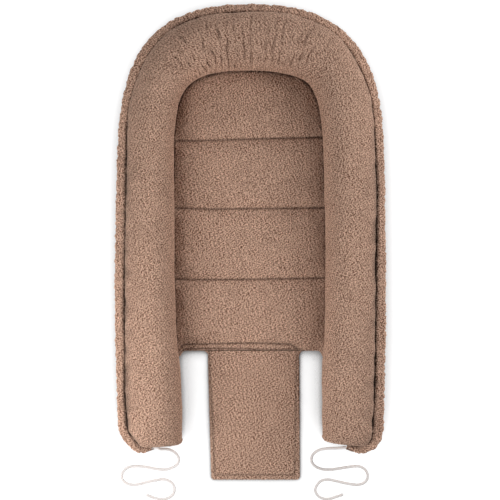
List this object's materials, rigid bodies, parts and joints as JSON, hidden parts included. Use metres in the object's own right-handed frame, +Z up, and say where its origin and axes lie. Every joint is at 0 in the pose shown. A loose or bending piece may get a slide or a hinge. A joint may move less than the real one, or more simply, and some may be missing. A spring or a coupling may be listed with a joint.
{
  "type": "infant lounger",
  "caption": "Padded infant lounger: a quilted bed in a U-shaped stuffed roll, with a drawstring in a tunnel along its outer edge and a fold-up foot flap.",
  "frame": {"origin": "on the floor, in the middle of the width and halfway from the head's outer edge to the end of the foot flap", "axes": "+Z up; +Y towards the head; +X to the right of someone looking down with the head at the top"},
  "size_m": [0.5478, 1.0119, 0.1039],
  "materials": {
    "boucle": "brown bouclé with a curly pile",
    "cotton": "plain woven cotton",
    "wadding": "white polyester fibre",
    "cord": "off-white twisted cotton"
  },
  "bodies": {
    "nest": {"roll_cover_upper": "boucle", "roll_cover_lower": "cotton", "roll_filling": "wadding", "drawstring_tunnel": "boucle", "drawstring_run": "cord", "base_top_panel": "boucle", "base_wadding_1": "wadding", "base_wadding_2": "wadding", "base_wadding_3": "wadding", "base_wadding_4": "wadding", "base_bottom_panel": "cotton"},
    "left_leg": {"left_leg_cover_upper": "boucle", "left_leg_cover_lower": "cotton", "left_leg_filling": "wadding", "left_leg_end_panel": "boucle", "left_leg_tunnel": "boucle", "left_leg_cord_run": "cord", "left_cord_end": "cord"},
    "right_leg": {"right_leg_cover_upper": "boucle", "right_leg_cover_lower": "cotton", "right_leg_filling": "wadding", "right_leg_end_panel": "boucle", "right_leg_tunnel": "boucle", "right_leg_cord_run": "cord", "right_cord_end": "cord"},
    "foot_flap": {"flap_top_layer": "boucle", "flap_wadding": "wadding", "flap_bottom_layer": "cotton"}
  },
  "joints": [
    {"name": "left_leg_swing", "type": "hinge", "parent": "nest", "child": "left_leg", "pos_m": [-0.1495, -0.2194, 0.05], "axis": [0, 0, 1], "range_deg": [0, 50], "deforming": ["left_cord_end"]},
    {"name": "right_leg_swing", "type": "hinge", "parent": "nest", "child": "right_leg", "pos_m": [0.1495, -0.2194, 0.05], "axis": [0, 0, -1], "range_deg": [0, 50], "deforming": ["right_cord_end"]},
    {"name": "foot_flap_fold", "type": "hinge", "parent": "nest", "child": "foot_flap", "pos_m": [0.008, -0.2194, 0.0095], "axis": [-1, 0, 0], "range_deg": [0, 165]}
  ]
}
